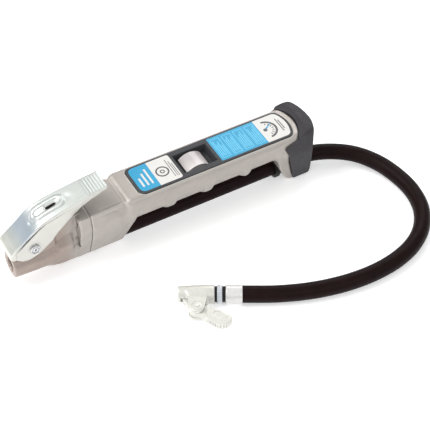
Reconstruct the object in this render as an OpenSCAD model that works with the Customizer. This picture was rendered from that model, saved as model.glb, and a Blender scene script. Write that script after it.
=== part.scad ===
// Hand-held tyre inflator: cast body, two-stage trigger lever, sliding-scale gauge, whip hose
// and clip-on tyre valve connector.
// X runs along the body, from the air inlet at -X to the tail at +X. Z is up, and the body rests
// on Z = 0. Y = 0 is the body's plane of symmetry.

/* [Body] */
// Height of the handle's flat top above the rest surface
handle_top = 60.5; // [60:0.1:61]
// Radius of the handle's round underside
handle_r = 20.5; // [20:0.1:20.8]
// Depth of the finger scallops under the handle
scallop_depth = 1; // [0.5:0.1:1.5]
// Radius of the air inlet's threaded bore (minor radius of G1/4)
inlet_r = 5.72; // [5.6:0.01:5.8]

/* [Trigger lever] */
// Thickness of the lever's pressed steel
lever_t = 1.6; // [1.2:0.1:1.8]
// Width of the lever outside its cheeks, at the front
lever_w = 25; // [24.6:0.1:26]

/* [Gauge] */
// Outer radius of the sliding scale barrel
barrel_r = 9; // [8.6:0.1:9.2]
// Number of turns of the gauge spring
gauge_turns = 12; // [8:1:12]

/* [Hose and connector] */
// Outer diameter of the hose
hose_d = 14.5; // [14:0.1:14.5]
// Bore of the hose
hose_bore = 8; // [7.9:0.1:8.2]
// Radius of the connector's mouth, a clearance fit over a tyre valve
mouth_r = 4.1; // [4:0.05:4.2]

/* [Hidden] */
$fn = 64;
gap = 0.3;
run_fit = 0.05;

// stations along X
mouth_x = -145;
seam_x = -76.7;
collar_x = -90;
block_end_x = -44;
leg_x = 109;
leg_end_x = 119;
tail_x = 126;
tail_plan_r = 31;
cap_end_x = 145;
cap_w = 45.4;
// side outlines of the leg and the cap: [x, z] of the leg's front edge from the top down, of
// its rear edge from the foot up, and of the cap's back from the top down
leg_front = [[99, 46], [101.8, 34.5], [105.3, 22], [109.5, 12], [113, 5.5], [117.5, 1], [120, 0]];
leg_rear = [[121.6, 0], [118, 11.5], [114.5, 25], [110, 41], [105.6, 50.5]];
cap_back = [
    [106.8, 53], [119, 58], [119.8, 61.5], [138, 61], [142.4, 58], [145, 50], [144.8, 35],
    [143.8, 14], [141, 2.5], [136.5, 0]
];

// handle section
handle_zc = 45.6;
handle_corner = 5;
scallop_zc = handle_zc + 1.4;
// each scallop: start, end and how much higher it sits than the first
scallops = [[-36, -7.5, 0], [1.8, 28.5, 0.2], [37.4, 66.5, 1.2], [74, 105, 2]];

// hose, under the handle and out through the leg
hose_z = 12;
hose_start_x = -58;
socket_r = 7.9;
leg_hole_r = 8.4;
grommet_r = 10;

// gauge
gauge_z = 40;
gauge_bore_r = 10;
cylinder_r = 6.5;
cylinder_bore_r = 4.5;
cylinder_x = [-61, 18];
barrel_x = [-40, 40];
rod_r = 2.5;
plug_x = 118.5;
spring_gap = 0.4;

// window and lens
strip_x = [-31, 120.6];
strip_w = 33.6;
strip_t = 2.5;
strip_end_r = 30;
well_x = [12, 46];
well_w = 24;
well_floor = 56.5;
well_t = 1.7;
lens_x = [17.5, 37.5];
lens_w = 18;
lens_rise = 4;
lens_base = 51;
label_t = 0.25;
label_w = 29.4;
// each label: front edge, edge between the blue and the white part, rear edge
label_front_x = [-28.4, -10.8, 10.2];
label_rear_x = [47.6, 93, 118.6];

// lever
pivot = [-125.5, 41];
pivot_r = 2.5;
// upper face of the lever's plate, from the nose back to the free end
lever_top = [
    [-145, 38], [-143, 42.8], [-136.6, 49.2], [-127.7, 57.2], [-121.6, 61.8], [-113, 65.4],
    [-104, 67], [-94, 69.2], [-83.5, 71.8], [-58, 79.5]
];
// lower edge of the cheeks, from the free end forward to the nose
cheek_low = [
    [-58, 75.6], [-74, 70.2], [-81.5, 66.5], [-89.2, 60], [-95.6, 55.2], [-102.9, 49.2],
    [-109.5, 42], [-115.8, 37.3], [-122.2, 33.7], [-128.3, 32.1], [-134.3, 32.1],
    [-140.2, 33], [-144.3, 34.4]
];

// valve plungers: X of each, and the height of its domed top at rest
inflate_x = -84;
deflate_x = -94;
inflate_top = 69.2;
deflate_top = 66.5;
tongue_w = [19.2, 17];
tongue_step_x = -107;
tongue_top = 58;
cheek_room = 4;
bush_z = [49, 58.5];
bush_r = 4.5;
plunger_r = 2.5;
seal_r = 3.9;
valve_bore_r = 4.3;
valve_bore_z = 16;
plunger_spring_r = 3.2;

// flange screws, in pockets beside the nose: [y, z] of each
flange_screws = [[-13.2, 28.5], [13.2, 28.5], [-11, 50], [11, 50]];
pocket_r = 4.3;
screw_r = 2;
// end cap screws: [y, z] of each
cap_screws = [[-10.5, 22], [10.5, 22]];

// connector: where the hose meets its ferrule, and its heading on the rest surface
con_at = [11.6, -111.5, 8];
con_turn = 150.7;
ferrule_l = 13.7;
hose_in_ferrule = 12;
ring1_x = 16.5;
collar2_x = 20.8;
con_body_x = 22.8;
con_l = 53;
con_r = 8;
con_nose_r = 6.7;
mouth_l = 14.2;
washer_seat_r = 4.6;
thumb_at = [37, 16.5];
thumb_pin_r = 1.5;
ear_t = 2.5;
ear_z = [-5.8, 5.8];

// centre line of the hose, from the socket in the front block to the end inside the ferrule
hose_route = [
    [-58, 0, 12], [-30, 0, 12], [20, 0, 12], [70, 0, 12], [100, 0, 12], [122, 0, 12],
    [144, -2, 12], [163, -9, 11.4], [180, -21, 10.4], [192.5, -39, 9.2], [199, -60, 8.2],
    [200.5, -82, 7.6], [195, -104, 7.4], [182, -122.5, 7.4], [164, -135, 7.4],
    [143, -142, 7.4], [121, -144.5, 7.4], [99, -143.5, 7.4], [77, -139.5, 7.4],
    [56, -133, 7.4], [36, -124.5, 7.5], [20, -116.2, 7.9], [11.6, -111.5, 8],
    [1.1, -105.6, 8]
];
hose_sides = 12;

casting_grey = [0.78, 0.75, 0.71];
nose_grey = [0.72, 0.68, 0.63];
zinc = [0.84, 0.87, 0.88];
steel = [0.7, 0.71, 0.73];
brass = [0.8, 0.66, 0.32];
dark_plastic = [0.27, 0.27, 0.29];
cap_rubber = [0.3, 0.29, 0.31];
seal_rubber = [0.08, 0.08, 0.08];
hose_black = [0.14, 0.1, 0.1];
die_cast = [0.86, 0.87, 0.83];
label_white = [0.94, 0.94, 0.92];
label_blue = [0.25, 0.62, 0.85];

// ---- helpers ----

// a YZ outline swept from x0 to x1
module along_x(x0, x1)
    translate([x0, 0, 0]) rotate([90, 0, 90]) linear_extrude(x1 - x0) children();

// an XZ outline swept across a width w, centred on Y = y
module across_y(w, y = 0)
    translate([0, y + w / 2, 0]) rotate([90, 0, 0]) linear_extrude(w) children();

// a round bar along X
module bar_x(x0, x1, r, y = 0, z = 0)
    translate([x0, y, z]) rotate([0, 90, 0]) cylinder(r = r, h = x1 - x0);

// a tube along X
module tube_x(x0, x1, r, bore, y = 0, z = 0)
    difference() {
        bar_x(x0, x1, r, y, z);
        bar_x(x0 - 1, x1 + 1, bore, y, z);
    }

// a round bar along Z
module bar_z(z0, z1, r, x = 0, y = 0)
    translate([x, y, z0]) cylinder(r = r, h = z1 - z0);

// rectangle from two corners
module rect(a, b) translate(a) square(b - a);

// places its children in the connector's own frame: X points out of its mouth
module at_connector() translate(con_at) rotate([0, 0, con_turn]) children();

// a tube or a bar with n sides swept along the points p
function unit(v) = v / norm(v);
function tangent(p, i) = unit(p[min(i + 1, len(p) - 1)] - p[max(i - 1, 0)]);
function side_of(t) = norm(cross(t, [0, 0, 1])) > 0.01 ? unit(cross(t, [0, 0, 1])) : [1, 0, 0];
function ring(c, t, r, n) =
    let (s = side_of(t), u = cross(s, t))
    [for (k = [0 : n - 1]) c + r * (cos(360 * k / n) * s + sin(360 * k / n) * u)];
function rings(p, r, n) = [for (i = [0 : len(p) - 1]) each ring(p[i], tangent(p, i), r, n)];
function skin(a, m, n, out) = [
    for (i = [0 : m - 2], k = [0 : n - 1])
        let (k2 = (k + 1) % n, q = a + i * n, w = q + n)
        each out ? [[q + k, w + k, w + k2], [q + k, w + k2, q + k2]]
                 : [[q + k, w + k2, w + k], [q + k, q + k2, w + k2]]
];
function rim(a, b, n, flip) = [
    for (k = [0 : n - 1])
        let (k2 = (k + 1) % n)
        each flip ? [[a + k, b + k2, b + k], [a + k, a + k2, b + k2]]
                  : [[a + k, b + k, b + k2], [a + k, b + k2, a + k2]]
];
module swept_tube(p, r, bore, n) {
    m = len(p);
    inner = m * n;
    polyhedron(
        points = concat(rings(p, r, n), rings(p, bore, n)),
        faces = concat(
            skin(0, m, n, true), skin(inner, m, n, false),
            rim(0, inner, n, true), rim((m - 1) * n, inner + (m - 1) * n, n, false)
        )
    );
}
module swept_bar(p, r, n) {
    m = len(p);
    polyhedron(
        points = rings(p, r, n),
        faces = concat(
            skin(0, m, n, true),
            [[for (k = [0 : n - 1]) k]],
            [[for (k = [n - 1 : -1 : 0]) (m - 1) * n + k]]
        )
    );
}
// helix of a coil spring about Z, with its centre line from z0 to z1
function helix(r, z0, z1, turns, steps) = [
    for (i = [0 : turns * steps])
        let (f = i / (turns * steps))
        [r * cos(360 * i / steps), r * sin(360 * i / steps), z0 + f * (z1 - z0)]
];
module coil_spring(r, wire, z0, z1, turns)
    swept_bar(helix(r - wire, z0 + wire, z1 - wire, turns, 12), wire, 6);

// ---- sections of the castings ----

// handle: round underside, straight sides and small upper corners
module handle_section(r, zc) {
    intersection() {
        translate([0, zc]) circle(r);
        rect([-r, 0], [r, handle_top - handle_corner]);
    }
    rect([-r, zc], [r, handle_top - handle_corner]);
    rect([handle_corner - r, zc], [r - handle_corner, handle_top]);
    for (s = [-1, 1])
        translate([s * (r - handle_corner), handle_top - handle_corner]) circle(handle_corner);
}

// front block: a ridge near the top, a bulging side, and a narrow lobe round the hose socket
module block_section()
    hull() {
        for (s = [-1, 1]) {
            translate([s * 14.5, 55.5]) circle(2.5, $fn = 24);
            translate([s * 9.5, 46]) circle(9.5, $fn = 48);
            translate([s * 14.5, 34]) circle(2.5, $fn = 24);
        }
        translate([0, hose_z]) circle(9.5, $fn = 48);
    }

// rear leg, tapering down to the rest surface
module leg_section(grow = 0)
    hull() {
        for (s = [-1, 1]) {
            translate([s * 16, 42]) circle(2.5 + grow, $fn = 24);
            translate([s * 8.5, 4 + grow]) circle(4 + grow, $fn = 24);
        }
    }

// the leg slopes back as it goes down, and the end cap wraps over its rear
module rear_leg()
    intersection() {
        along_x(98, 124) leg_section();
        across_y(60) polygon(concat(leg_front, leg_rear));
    }

// plan of the handle's rounded tail, grown by g
module tail_plan(g = 0)
    translate([tail_x - tail_plan_r, 0]) circle(tail_plan_r + g, $fn = 128);

module tail_round(g = 0) {
    translate([0, 0, -1]) linear_extrude(90) tail_plan(g);
    translate([-200, -40, -1]) cube([200 + tail_x - tail_plan_r, 80, 90]);
}

// ---- castings ----

module handle_barrel()
    difference() {
        intersection() {
            along_x(block_end_x, tail_x) handle_section(handle_r, handle_zc);
            tail_round();
        }
        for (s = scallops)
            along_x(s[0], s[1])
                difference() {
                    rect([-26, 15], [26, scallop_zc + s[2]]);
                    translate([0, scallop_zc + s[2]]) circle(handle_r - scallop_depth);
                }
    }

module front_block()
    intersection() {
        along_x(seam_x, block_end_x + 9) block_section();
        across_y(60)
            polygon([
                [seam_x, 0], [-45.5, 0], [-45, 8], [-35.5, 38], [-41, 60.5], [-60, 58.2],
                [seam_x, 57.6]
            ]);
    }

module handle_casting() {
    color(casting_grey)
    difference() {
        union() {
            handle_barrel();
            front_block();
            rear_leg();
        }
        // gauge bore, and the seat of the gauge cylinder
        bar_x(-45, tail_x + 1, gauge_bore_r, 0, gauge_z);
        bar_x(cylinder_x[0], -44, cylinder_r, 0, gauge_z);
        // air galleries from the nose casting to the gauge, to the hose and up from the plug
        bar_x(seam_x - 1, cylinder_x[0] + 1, 2, 0, gauge_z);
        bar_x(seam_x - 1, -62, 2.4, 0, hose_z);
        bar_z(-1, hose_z, 2.5, -70);
        // hose socket and the way through the leg
        bar_x(-64, -34, socket_r, 0, hose_z);
        bar_x(leg_x - 12, leg_end_x + 5, leg_hole_r, 0, hose_z);
        bar_x(leg_x - 12, leg_x, grommet_r + 0.2, 0, hose_z);
        // recess of the top strip, and the window down to the scale
        strip_plate(handle_top - strip_t, handle_top + 1, gap / 2);
        translate([well_x[0] - gap, -well_w / 2 - gap, gauge_z + 8])
            cube([well_x[1] - well_x[0] + 2 * gap, well_w + 2 * gap, 20]);
        // threads of the flange screws and the end cap screws
        for (p = flange_screws) bar_x(seam_x - 1, seam_x + 12, screw_r, p[0], p[1]);
        for (p = cap_screws) bar_x(leg_x - 2, leg_end_x + 1, screw_r, p[0], p[1]);
    }
}

// outer form of the nose, from the inlet's mouth back to the flange
module nose_form() {
    hull() {
        bar_x(mouth_x, mouth_x + 1, 12, 0, 21.5);
        for (s = [-1, 1]) bar_x(-119, -118, 11.5, s * 2.5, 22.5, $fn = 32);
    }
    hull() {
        for (s = [-1, 1]) {
            bar_x(-119, -118, 11.5, s * 2.5, 22.5, $fn = 32);
            bar_x(collar_x, collar_x + 1, 6, s * 2.4, 47, $fn = 32);
            bar_x(collar_x, collar_x + 1, 10, s * 4.5, 30, $fn = 32);
        }
        bar_x(collar_x, collar_x + 1, 8.5, 0, hose_z, $fn = 32);
    }
}

module valve_body() {
    color(nose_grey)
    difference() {
        union() {
            nose_form();
            along_x(collar_x, seam_x - gap)
                intersection() {
                    block_section();
                    rect([-30, 0], [30, 57.6]);
                }
            // tongue between the lever's cheeks, which carries the pivot and the plungers
            across_y(tongue_w[0])
                polygon([
                    [-137, 28], [-138, 38], [-133, 44], [-126, 50], [-116, 56], [-111, tongue_top],
                    [tongue_step_x, tongue_top], [tongue_step_x, 30]
                ]);
            across_y(tongue_w[1])
                rect([tongue_step_x - 1, 30], [seam_x - gap, tongue_top]);
        }
        // room for the cheeks beside the tongue when the lever is pressed
        for (s = [-1, 1])
            across_y(cheek_room, s * (tongue_w[1] + cheek_room) / 2)
                polygon([
                    [collar_x - 4, 53.5], [collar_x + 6, 53.5], [collar_x + 12, 60],
                    [collar_x - 4, 60]
                ]);
        // threaded inlet, the filter's seat behind it and the main air way
        bar_x(mouth_x - 1, mouth_x + 12, inlet_r, 0, 21.5);
        bar_x(mouth_x + 11, mouth_x + 14, inlet_r - 0.8, 0, 21.5);
        bar_x(mouth_x + 13, inflate_x, 3, 0, 21.5);
        // valve bores, with the bushes' seats at the top
        for (x = [inflate_x, deflate_x]) {
            bar_z(valve_bore_z, bush_z[0], valve_bore_r, x);
            bar_z(bush_z[0], 70, bush_r, x);
        }
        // ways back to the gauge and the hose
        bar_x(inflate_x, seam_x, 2, 0, gauge_z);
        bar_x(inflate_x, seam_x, 2.4, 0, valve_bore_z + 3);
        // pivot
        translate([pivot[0], 0, pivot[1]]) rotate([90, 0, 0])
            cylinder(r = pivot_r, h = 40, center = true);
        // pockets and clearance holes of the flange screws
        for (p = flange_screws) {
            bar_x(-112, collar_x + 6, pocket_r, p[0], p[1]);
            bar_x(collar_x, seam_x, screw_r, p[0], p[1]);
        }
    }
}

module body_gasket()
    color(seal_rubber)
    difference() {
        along_x(seam_x - gap, seam_x)
            intersection() {
                block_section();
                rect([-30, 0], [30, 57.5]);
            }
        bar_x(seam_x - 1, seam_x + 1, 2, 0, gauge_z);
        bar_x(seam_x - 1, seam_x + 1, 2.4, 0, hose_z + 2);
        for (p = flange_screws) bar_x(seam_x - 1, seam_x + 1, screw_r, p[0], p[1]);
    }

module valve_body_screws()
    color(steel)
    for (p = flange_screws)
        difference() {
            union() {
                bar_x(collar_x + 2.6, collar_x + 6, 3.6, p[0], p[1]);
                bar_x(collar_x + 5, seam_x + 11, screw_r, p[0], p[1]);
            }
            bar_x(collar_x, collar_x + 4.6, 1.7, p[0], p[1], $fn = 6);
        }

module inlet_filter()
    color(brass)
    difference() {
        bar_x(mouth_x + 12, mouth_x + 13.5, inlet_r - 0.8, 0, 21.5);
        for (k = [0 : 5])
            bar_x(mouth_x + 11, mouth_x + 15, 0.8, 2.6 * cos(60 * k), 21.5 + 2.6 * sin(60 * k));
        bar_x(mouth_x + 11, mouth_x + 15, 0.8, 0, 21.5);
    }

module gallery_plug()
    color(seal_rubber)
    difference() {
        bar_z(0, 7.5, 2.5, -70);
        translate([0, 0, -1]) bar_z(0, 2.5, 1.2, -70, $fn = 6);
    }

// ---- trigger lever and valves ----

// lower face of the lever's plate: the upper face moved down square to itself
function below(p, i, t) =
    let (d = unit(p[min(i + 1, len(p) - 1)] - p[max(i - 1, 0)]))
    p[i] + t * [d[1], -d[0]];
lever_under = [for (i = [len(lever_top) - 1 : -1 : 0]) below(lever_top, i, lever_t)];

// plan of the lever, narrowing to its free end
module lever_plan(inset = 0)
    polygon([
        [-150, inset - lever_w / 2], [-118, inset - lever_w / 2], [-57, inset - 9.3],
        [-57, 9.3 - inset], [-118, lever_w / 2 - inset], [-150, lever_w / 2 - inset]
    ]);

module trigger_lever() {
    color(zinc)
    difference() {
        union() {
            // plate
            intersection() {
                across_y(lever_w) polygon(concat(lever_top, lever_under));
                linear_extrude(90) lever_plan();
            }
            // cheeks, which follow the plan and stand a little inside the plate's edge
            intersection() {
                across_y(lever_w) polygon(concat([for (p = lever_top) p - [0, 0.6]], cheek_low));
                translate([0, 0, 1]) linear_extrude(88)
                    difference() {
                        lever_plan(0.5);
                        lever_plan(0.5 + lever_t - 0.1);
                    }
            }
        }
        translate([pivot[0], 0, pivot[1]]) rotate([90, 0, 0])
            cylinder(r = pivot_r + run_fit, h = 60, center = true);
        // slotted hole in the plate
        hull()
            for (x = [-108, -100]) bar_z(60, 80, 2.8, x);
    }
}

module lever_rivet()
    color(steel)
    translate([pivot[0], 0, pivot[1]]) rotate([90, 0, 0]) {
        cylinder(r = pivot_r, h = lever_w + 1.2, center = true);
        for (s = [-1, 1])
            translate([0, 0, s * (lever_w / 2 + 0.7)]) cylinder(r = 4, h = 1, center = true);
    }

module plunger_guides()
    color(brass)
    for (x = [inflate_x, deflate_x])
        difference() {
            bar_z(bush_z[0], bush_z[1], bush_r, x);
            bar_z(bush_z[0] - 1, bush_z[1] + 1, plunger_r + run_fit, x);
        }

// stem with a domed top and a collar that lifts the seal
module plunger(x, top)
    color(steel) {
        bar_z(30, top - 1.5, plunger_r, x);
        translate([x, 0, top - 1.5])
            intersection() {
                sphere(plunger_r);
                bar_z(0, 1.5, plunger_r);
            }
        bar_z(30, 33, seal_r, x);
    }
module inflate_plunger() plunger(inflate_x, inflate_top);
module deflate_plunger() plunger(deflate_x, deflate_top);

module plunger_seal(x) color(seal_rubber) bar_z(28, 30, seal_r, x);
module inflate_seal() plunger_seal(inflate_x);
module deflate_seal() plunger_seal(deflate_x);

module plunger_spring(x)
    color(steel)
    translate([x, 0, 0]) coil_spring(plunger_spring_r, 0.4, valve_bore_z + 0.1, 27.9, 6);
module inflate_spring() plunger_spring(inflate_x);
module deflate_spring() plunger_spring(deflate_x);

// ---- gauge ----

module gauge_cylinder()
    color(brass)
    difference() {
        tube_x(cylinder_x[0], cylinder_x[1], cylinder_r, cylinder_bore_r, 0, gauge_z);
        bar_x(cylinder_x[0] - 1, cylinder_x[0] + 1, 2, 0, gauge_z);
    }

module gauge_piston()
    color(brass) {
        bar_x(-44, -38, cylinder_bore_r - run_fit, 0, gauge_z);
        bar_x(-39, barrel_x[1], rod_r, 0, gauge_z);
    }

module piston_seal()
    color(seal_rubber) bar_x(-48, -44, cylinder_bore_r - run_fit, 0, gauge_z);

// white sleeve with a closed rear end, carried by the piston's rod
module scale_barrel()
    color(label_white)
    difference() {
        bar_x(barrel_x[0], barrel_x[1], barrel_r, 0, gauge_z);
        bar_x(barrel_x[0] - 1, barrel_x[1] - 3, barrel_r - 1.6, 0, gauge_z);
        bar_x(barrel_x[1] - 5, barrel_x[1] + 1, rod_r, 0, gauge_z);
    }

module gauge_spring()
    color(steel)
    translate([0, 0, gauge_z]) rotate([0, 90, 0])
        coil_spring(7, 0.7, barrel_x[1] + spring_gap, plug_x - spring_gap, gauge_turns);

module gauge_end_plug()
    color(brass)
    difference() {
        bar_x(plug_x, plug_x + 5.2, gauge_bore_r, 0, gauge_z);
        bar_x(plug_x + 2.2, plug_x + 7, 4, 0, gauge_z, $fn = 6);
    }

// ---- top strip, labels and lens ----

// plan of the strip, with rounded corners in front and a rounded tail, grown by g
module strip_outline(g = 0) {
    w = strip_w / 2 + g;
    intersection() {
        rect([strip_x[0] - g, -w], [strip_x[1] + g, w]);
        translate([strip_x[1] - strip_end_r, 0]) circle(strip_end_r + g, $fn = 128);
    }
    rect([strip_x[0] + 4, -w], [strip_x[1] - strip_end_r, w]);
    rect([strip_x[0] - g, 4 - w], [0, w - 4]);
    for (s = [-1, 1]) translate([strip_x[0] + 4 - g, s * (w - 4)]) circle(4);
}
module strip_plate(z0, z1, g = 0)
    translate([0, 0, z0]) linear_extrude(z1 - z0) strip_outline(g);

module bezel_strip()
    color(dark_plastic)
    difference() {
        union() {
            strip_plate(handle_top - strip_t, handle_top);
            translate([well_x[0], -well_w / 2, well_floor - well_t])
                cube([well_x[1] - well_x[0], well_w, handle_top - well_floor]);
        }
        // well with sloping ends, and the lens's seat in its floor
        across_y(well_w - 3)
            polygon([
                [well_x[0] + 3, well_floor], [well_x[1] - 3, well_floor],
                [well_x[1] - 1, handle_top + 1], [well_x[0] + 1, handle_top + 1]
            ]);
        translate([lens_x[0], -lens_w / 2, 40]) cube([lens_x[1] - lens_x[0], lens_w, 30]);
        // recesses of the labels
        for (x = [label_front_x, label_rear_x])
            translate([0, 0, handle_top - label_t]) linear_extrude(5) label_plan(x[0], x[2]);
    }

// plan of a label between x0 and x1: the strip's outline moved in, cut square at the well's side
module label_plan(x0, x1)
    intersection() {
        rect([x0, -label_w / 2], [x1, label_w / 2]);
        union() {
            translate([x1 - strip_end_r + 2, 0]) circle(strip_end_r - 2, $fn = 128);
            rect([x0, -20], [min(x1, 90), 20]);
        }
    }
module label(x)
    for (part = [0, 1])
        color(part == 0 ? label_blue : label_white)
        translate([0, 0, handle_top - label_t]) linear_extrude(label_t)
            intersection() {
                label_plan(x[0], x[2]);
                rect([x[part], -20], [x[part + 1], 20]);
            }
module label_front() label(label_front_x);
module label_rear() label(label_rear_x);

// flat below and curved along X above, so it magnifies the scale along the body
module lens() {
    half = (lens_x[1] - lens_x[0]) / 2;
    r = (half * half + lens_rise * lens_rise) / (2 * lens_rise);
    color([0.93, 0.9, 0.9])
    across_y(lens_w - 0.1)
        intersection() {
            rect([lens_x[0] + 0.05, lens_base], [lens_x[1] - 0.05, well_floor + lens_rise]);
            union() {
                translate([lens_x[0] + half, well_floor + lens_rise - r]) circle(r, $fn = 96);
                rect([lens_x[0], lens_base], [lens_x[1], well_floor]);
            }
        }
}

module lens_gasket()
    color(seal_rubber)
    translate([0, 0, well_floor - well_t - 1.2])
        linear_extrude(1.2)
            difference() {
                rect([lens_x[0] - 1.5, -lens_w / 2 - 1.5], [lens_x[1] + 1.5, lens_w / 2 + 1.5]);
                rect([lens_x[0], -lens_w / 2], [lens_x[1], lens_w / 2]);
            }

// ---- end cap ----

// plan of the end cap: straight sides and a rounded back
module cap_plan()
    hull() {
        translate([cap_end_x - 12, 0]) circle(12);
        for (s = [-1, 1]) translate([129.5, s * (cap_w / 2 - 9)]) circle(9);
        rect([100, -cap_w / 2], [110, cap_w / 2]);
    }

module end_cap()
    color(cap_rubber)
    difference() {
        intersection() {
            along_x(100, cap_end_x)
                hull() {
                    for (s = [-1, 1]) {
                        translate([s * (cap_w / 2 - 4), 57.5]) circle(4, $fn = 24);
                        translate([s * 9.5, 4]) circle(4, $fn = 24);
                    }
                    translate([0, 44]) circle(cap_w / 2);
                }
            translate([0, 0, -1]) linear_extrude(70) cap_plan();
            across_y(60)
                polygon(concat([for (p = leg_rear) [p[0] + 0.2, p[1]]], cap_back));
        }
        // room for the handle's tail, open above it
        intersection() {
            tail_round(0.15);
            along_x(98, 130) {
                translate([0, handle_zc]) circle(handle_r + 0.15);
                rect([-handle_r - 0.15, handle_zc], [handle_r + 0.15, 80]);
            }
        }
        // the way out for the hose, flared towards the rear
        bar_x(110, 125, leg_hole_r, 0, hose_z);
        translate([124, 0, hose_z]) rotate([0, 90, 0])
            cylinder(r1 = leg_hole_r, r2 = leg_hole_r + 1.6, h = 24);
        for (p = cap_screws) {
            bar_x(110, 150, screw_r + 0.1, p[0], p[1]);
            bar_x(136, 150, 3.9, p[0], p[1]);
        }
    }

module end_cap_screws()
    color(steel)
    for (p = cap_screws)
        difference() {
            union() {
                bar_x(leg_x - 1.5, 137, screw_r, p[0], p[1]);
                bar_x(136, 138.6, 3.6, p[0], p[1]);
            }
            bar_x(137, 140, 1.6, p[0], p[1], $fn = 6);
        }

// ---- hose and its fittings at the body ----

module hose_grommet()
    color(seal_rubber)
    difference() {
        union() {
            bar_x(leg_x - 3.5, leg_x, grommet_r, 0, hose_z);
            bar_x(leg_x - 1, leg_end_x - 4, leg_hole_r, 0, hose_z);
        }
        bar_x(leg_x - 10, leg_end_x, hose_d / 2 + 0.1, 0, hose_z);
    }

module hose_tail()
    color(brass)
    difference() {
        union() {
            bar_x(-63.5, hose_start_x, 7, 0, hose_z);
            bar_x(hose_start_x - 1, hose_start_x + 16, hose_bore / 2 - 0.2, 0, hose_z);
        }
        bar_x(-65, -30, 2.4, 0, hose_z);
    }

module hose_ferrule()
    color(steel) tube_x(hose_start_x, -43.5, socket_r, hose_d / 2 + 0.05, 0, hose_z);

module hose()
    color(hose_black)
    swept_tube(hose_route, hose_d / 2, hose_bore / 2 + 0.1, hose_sides);

// ---- tyre valve connector ----

module connector_tail()
    color(steel)
    at_connector()
    difference() {
        union() {
            bar_x(-6, 14, hose_bore / 2 - 0.2);
            bar_x(hose_in_ferrule + 0.2, ferrule_l, 7);
            bar_x(12, 31, 4.5);
        }
        bar_x(-10, 40, 2.2);
    }

module connector_ferrule()
    color(zinc)
    at_connector() tube_x(0, ferrule_l, 7.85, hose_d / 2 + 0.05);

module connector_rings()
    color(seal_rubber)
    at_connector() {
        tube_x(ferrule_l, ring1_x, 6.8, 4.5);
        tube_x(collar2_x, con_body_x, 6.8, 4.5);
    }

// collar with fine flutes
module connector_collar()
    color(zinc)
    at_connector()
    difference() {
        tube_x(ring1_x, collar2_x, 7.8, 4.5);
        for (k = [0 : 19])
            rotate([18 * k, 0, 0]) bar_x(ring1_x - 1, collar2_x + 1, 0.4, 0, 8, $fn = 16);
    }

// plan of the ears that hold the thumb lever
module ear_plan()
    hull() {
        translate(thumb_at) circle(6.5, $fn = 48);
        translate([40.3, 19.4]) circle(3.6, $fn = 24);
        rect([28, 0], [44.5, 2]);
    }

module connector_body()
    color(die_cast)
    at_connector()
    difference() {
        union() {
            rotate([0, 90, 0])
                rotate_extrude()
                    polygon([
                        [0, con_body_x], [con_r - 0.6, con_body_x], [con_r, con_body_x + 0.6],
                        [con_r, con_body_x + 7], [con_nose_r, con_l - 1],
                        [con_nose_r - 0.8, con_l], [0, con_l]
                    ]);
            for (z = [ear_z[1] - ear_t, ear_z[0]])
                translate([0, 0, z]) linear_extrude(ear_t) ear_plan();
        }
        bar_x(con_body_x - 1, 31, 4.5);
        bar_x(30, 36, 2.5);
        bar_x(35, con_l - mouth_l, washer_seat_r);
        bar_x(con_l - mouth_l - 1, con_l + 1, mouth_r);
        // slot for the thumb lever's hub and jaw
        translate([thumb_at[0], thumb_at[1], ear_z[0] + ear_t]) cylinder(r = 9.5, h = 6.6);
        translate([43.5, 3, -2.4]) cube([7.7, 12, 4.8]);
        translate([thumb_at[0], thumb_at[1], -10]) cylinder(r = thumb_pin_r, h = 20);
    }

module valve_washer()
    color(seal_rubber)
    at_connector() tube_x(36.2, 38.6, washer_seat_r, 1.5);

module valve_probe()
    color(brass)
    at_connector() {
        bar_x(32, 38.5, 0.9);
        difference() {
            bar_x(33, 34, 2.5);
            for (k = [0 : 2])
                rotate([120 * k, 0, 0]) bar_x(32, 35, 0.7, 0, 1.7);
        }
    }

// plan of the thumb pad: the edge beside the ferrule, the tip, then the outer edge
thumb_pad = [
    [29.3, 19.6], [24.7, 19.4], [21.1, 19.7], [16.6, 20.3], [12.1, 22.8], [8.6, 26.3], [7.9, 28.6],
    [8.6, 31.4], [12.2, 35.9], [16.7, 36.9], [21.1, 35.7], [24.7, 33.1], [28.2, 30.8], [31, 28.5]
];

// hub, arm and serrated thumb pad; the jaw on the far side of the pin grips the valve's thread
module thumb_lever()
    color(die_cast)
    at_connector()
    difference() {
        union() {
            translate([0, 0, -2.9])
                linear_extrude(5.8) {
                    translate(thumb_at) circle(6.3, $fn = 48);
                    polygon([[35, 10.5], [36, 22.5], [20, 28], [20, 20]]);
                    polygon([[38, 10.4], [43.4, 17], [46.5, 11], [45, 8.4]]);
                }
            translate([0, 0, -2])
                linear_extrude(4) polygon([[44.4, 4.6], [48.8, 4.6], [47.8, 10], [44.5, 11.5]]);
            translate([0, 0, -0.5]) linear_extrude(5.5) polygon(thumb_pad);
        }
        translate([thumb_at[0], thumb_at[1], -10]) cylinder(r = thumb_pin_r + run_fit, h = 20);
        // serrations along the pad's outer edge
        for (p = [for (i = [7 : 12], t = [0.25, 0.75]) (1 - t) * thumb_pad[i] + t * thumb_pad[i + 1]])
            translate([p[0], p[1], -1]) cylinder(r = 0.7, h = 7, $fn = 16);
    }

module thumb_pin()
    color(steel)
    at_connector()
    translate([thumb_at[0], thumb_at[1], ear_z[0] - 0.4])
        cylinder(r = thumb_pin_r, h = ear_z[1] - ear_z[0] + 0.8);

module thumb_spring()
    color(steel)
    at_connector()
    translate([31.5, 8.4, 0]) rotate([-90, 0, 0]) cylinder(r = 1.4, h = 1.6, $fn = 96);

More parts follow.
